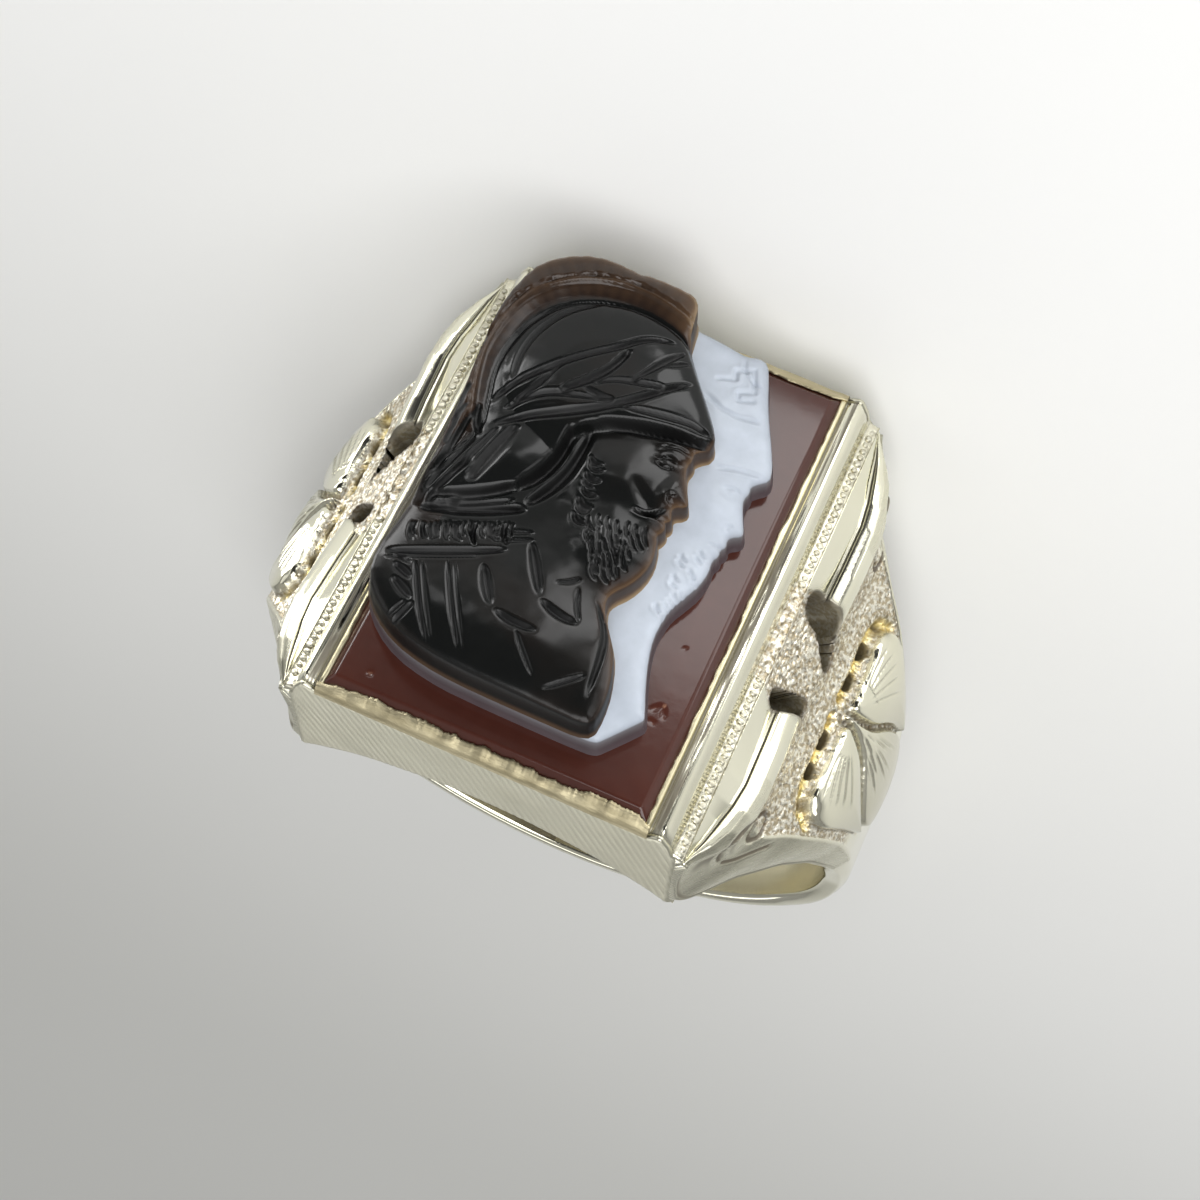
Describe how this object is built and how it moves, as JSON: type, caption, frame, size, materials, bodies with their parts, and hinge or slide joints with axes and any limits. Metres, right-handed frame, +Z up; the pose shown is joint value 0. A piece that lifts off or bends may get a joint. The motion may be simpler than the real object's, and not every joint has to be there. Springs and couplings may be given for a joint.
{
  "type": "cameo ring",
  "caption": "White metal ring with an oblong setting, ornamented shoulders and a carved two-colour hardstone cameo of a helmeted bust.",
  "frame": {"origin": "on the floor, under the middle of the bounding box, with the ring lying on its side as it rests by itself", "axes": "+Z up from the floor; +Y the way the shank's back looks, so the stone's face looks toward -Y and slightly up; X across the finger, between the two shoulders"},
  "size_m": [0.0216, 0.0282, 0.0163],
  "materials": {
    "white_gold": "polished white gold, stippled and engraved in places",
    "hardstone": "polished brown and white banded stone"
  },
  "bodies": {
    "root": {"ring_body": "white_gold", "cameo": "hardstone"}
  },
  "joints": []
}
